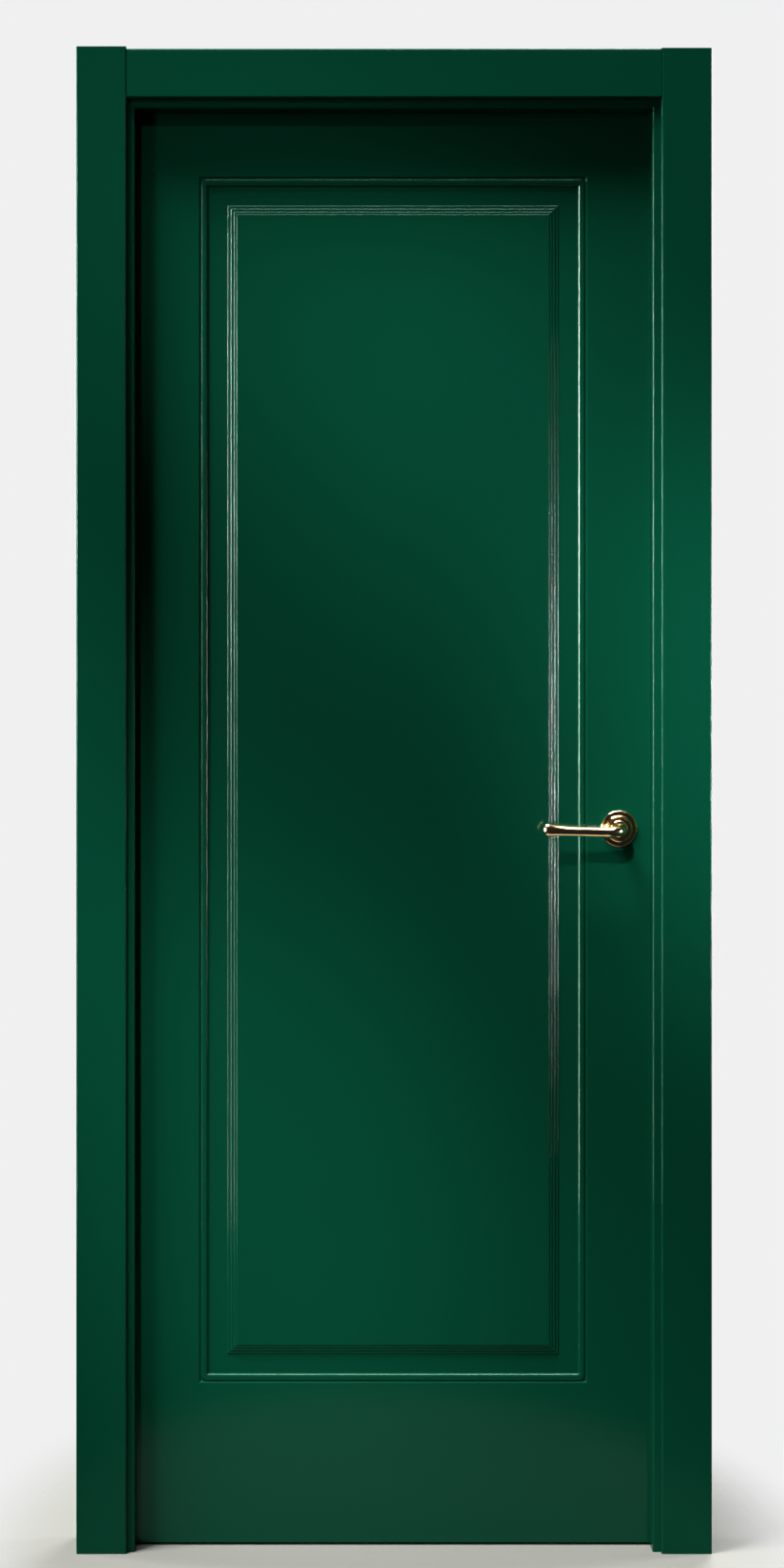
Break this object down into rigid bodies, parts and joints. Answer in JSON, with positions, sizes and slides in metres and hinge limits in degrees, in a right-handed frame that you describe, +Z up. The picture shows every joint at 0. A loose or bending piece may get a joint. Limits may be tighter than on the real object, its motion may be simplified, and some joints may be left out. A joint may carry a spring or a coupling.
{
  "type": "interior door with frame",
  "caption": "Hinged interior door leaf with a routed panel, hung in a rebated frame with flat architraves and fitted with a lever latch.",
  "frame": {"origin": "on the floor, at the middle of the leaf's width and of its thickness", "axes": "+Z up, +X from the hinge side to the lock side, -Y towards the side that the leaf is pushed from"},
  "size_m": [0.88, 0.1448, 2.0655],
  "materials": {
    "green_lacquer": "satin",
    "polished_brass": "polished",
    "satin_brass": "satin",
    "steel": "satin",
    "seal_rubber": "matte"
  },
  "bodies": {
    "frame": {"hinge_jamb": "green_lacquer", "lock_jamb": "green_lacquer", "head_jamb": "green_lacquer", "corner_screws": "steel", "hinge_side_seal": "seal_rubber", "lock_side_seal": "seal_rubber", "head_seal": "seal_rubber", "front_left_architrave": "green_lacquer", "front_right_architrave": "green_lacquer", "front_head_architrave": "green_lacquer", "back_left_architrave": "green_lacquer", "back_right_architrave": "green_lacquer", "back_head_architrave": "green_lacquer", "top_hinge_frame_leaf": "satin_brass", "middle_hinge_frame_leaf": "satin_brass", "bottom_hinge_frame_leaf": "satin_brass", "top_hinge_pin": "satin_brass", "middle_hinge_pin": "satin_brass", "bottom_hinge_pin": "satin_brass", "hinge_frame_screws": "satin_brass", "strike_plate": "satin_brass", "strike_screws": "satin_brass"},
    "leaf": {"door_leaf": "green_lacquer", "top_hinge_door_leaf": "satin_brass", "middle_hinge_door_leaf": "satin_brass", "bottom_hinge_door_leaf": "satin_brass", "hinge_door_screws": "satin_brass", "latch_case": "steel", "latch_case_cover": "steel", "latch_forend": "satin_brass", "forend_screws": "satin_brass", "latch_spring": "steel", "front_rose": "polished_brass", "front_rose_base": "steel", "back_rose": "polished_brass", "back_rose_base": "steel", "rose_screws": "steel"},
    "handle": {"front_lever": "polished_brass", "back_lever": "polished_brass", "spindle": "steel", "follower": "steel", "lever_set_screws": "steel"},
    "latch": {"latch_bolt": "satin_brass"}
  },
  "joints": [
    {"name": "leaf_swing", "type": "hinge", "parent": "frame", "child": "leaf", "pos_m": [-0.364, 0.024, 1], "axis": [0, 0, 1], "range_deg": [0, 170]},
    {"name": "lever_turn", "type": "hinge", "parent": "leaf", "child": "handle", "pos_m": [0.3125, 0, 0.991], "axis": [0, -1, 0], "range_deg": [0, 40], "stiffness_Nm_per_rad": 1.5, "springref_deg": -28.65},
    {"name": "latch_slide", "type": "slide", "parent": "leaf", "child": "latch", "axis": [-1, 0, 0], "range_m": [0, 0.0105], "deforming": ["latch_spring"]}
  ],
  "couplings": [
    {"joint": "latch_slide", "follows": "lever_turn", "m_per_rad": 0.014732}
  ]
}
